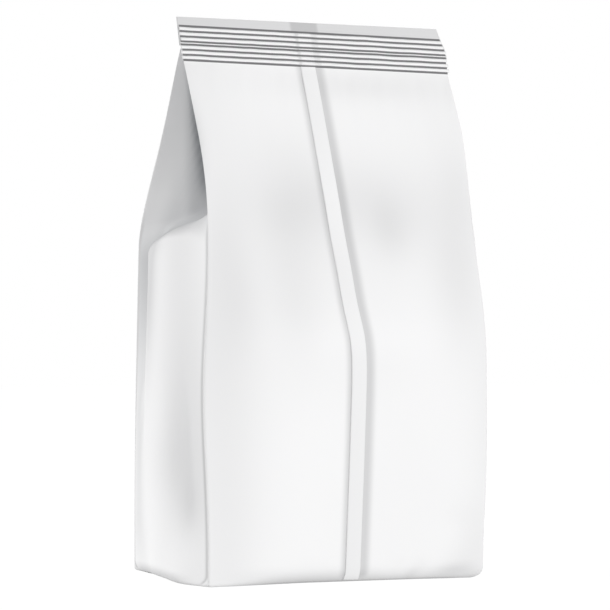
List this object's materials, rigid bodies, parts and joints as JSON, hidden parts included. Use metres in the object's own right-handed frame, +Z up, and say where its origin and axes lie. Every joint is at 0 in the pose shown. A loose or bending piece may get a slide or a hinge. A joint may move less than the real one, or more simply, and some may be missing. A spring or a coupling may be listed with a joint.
{
  "type": "flat-bottom pouch",
  "caption": "Filled flat-bottom film pouch, heat sealed shut, with gusseted sides that tuck in at the top, a crimped top seal that leans back and a long seam down one panel.",
  "frame": {"origin": "on the floor under the middle of the pouch", "axes": "+Z up, -Y the way the panel with the long seam faces, +X to the right of someone looking at that panel"},
  "size_m": [0.1396, 0.1124, 0.245],
  "materials": {
    "white_film": "satin white laminated film"
  },
  "bodies": {
    "root": {"pouch": "white_film"}
  },
  "joints": []
}
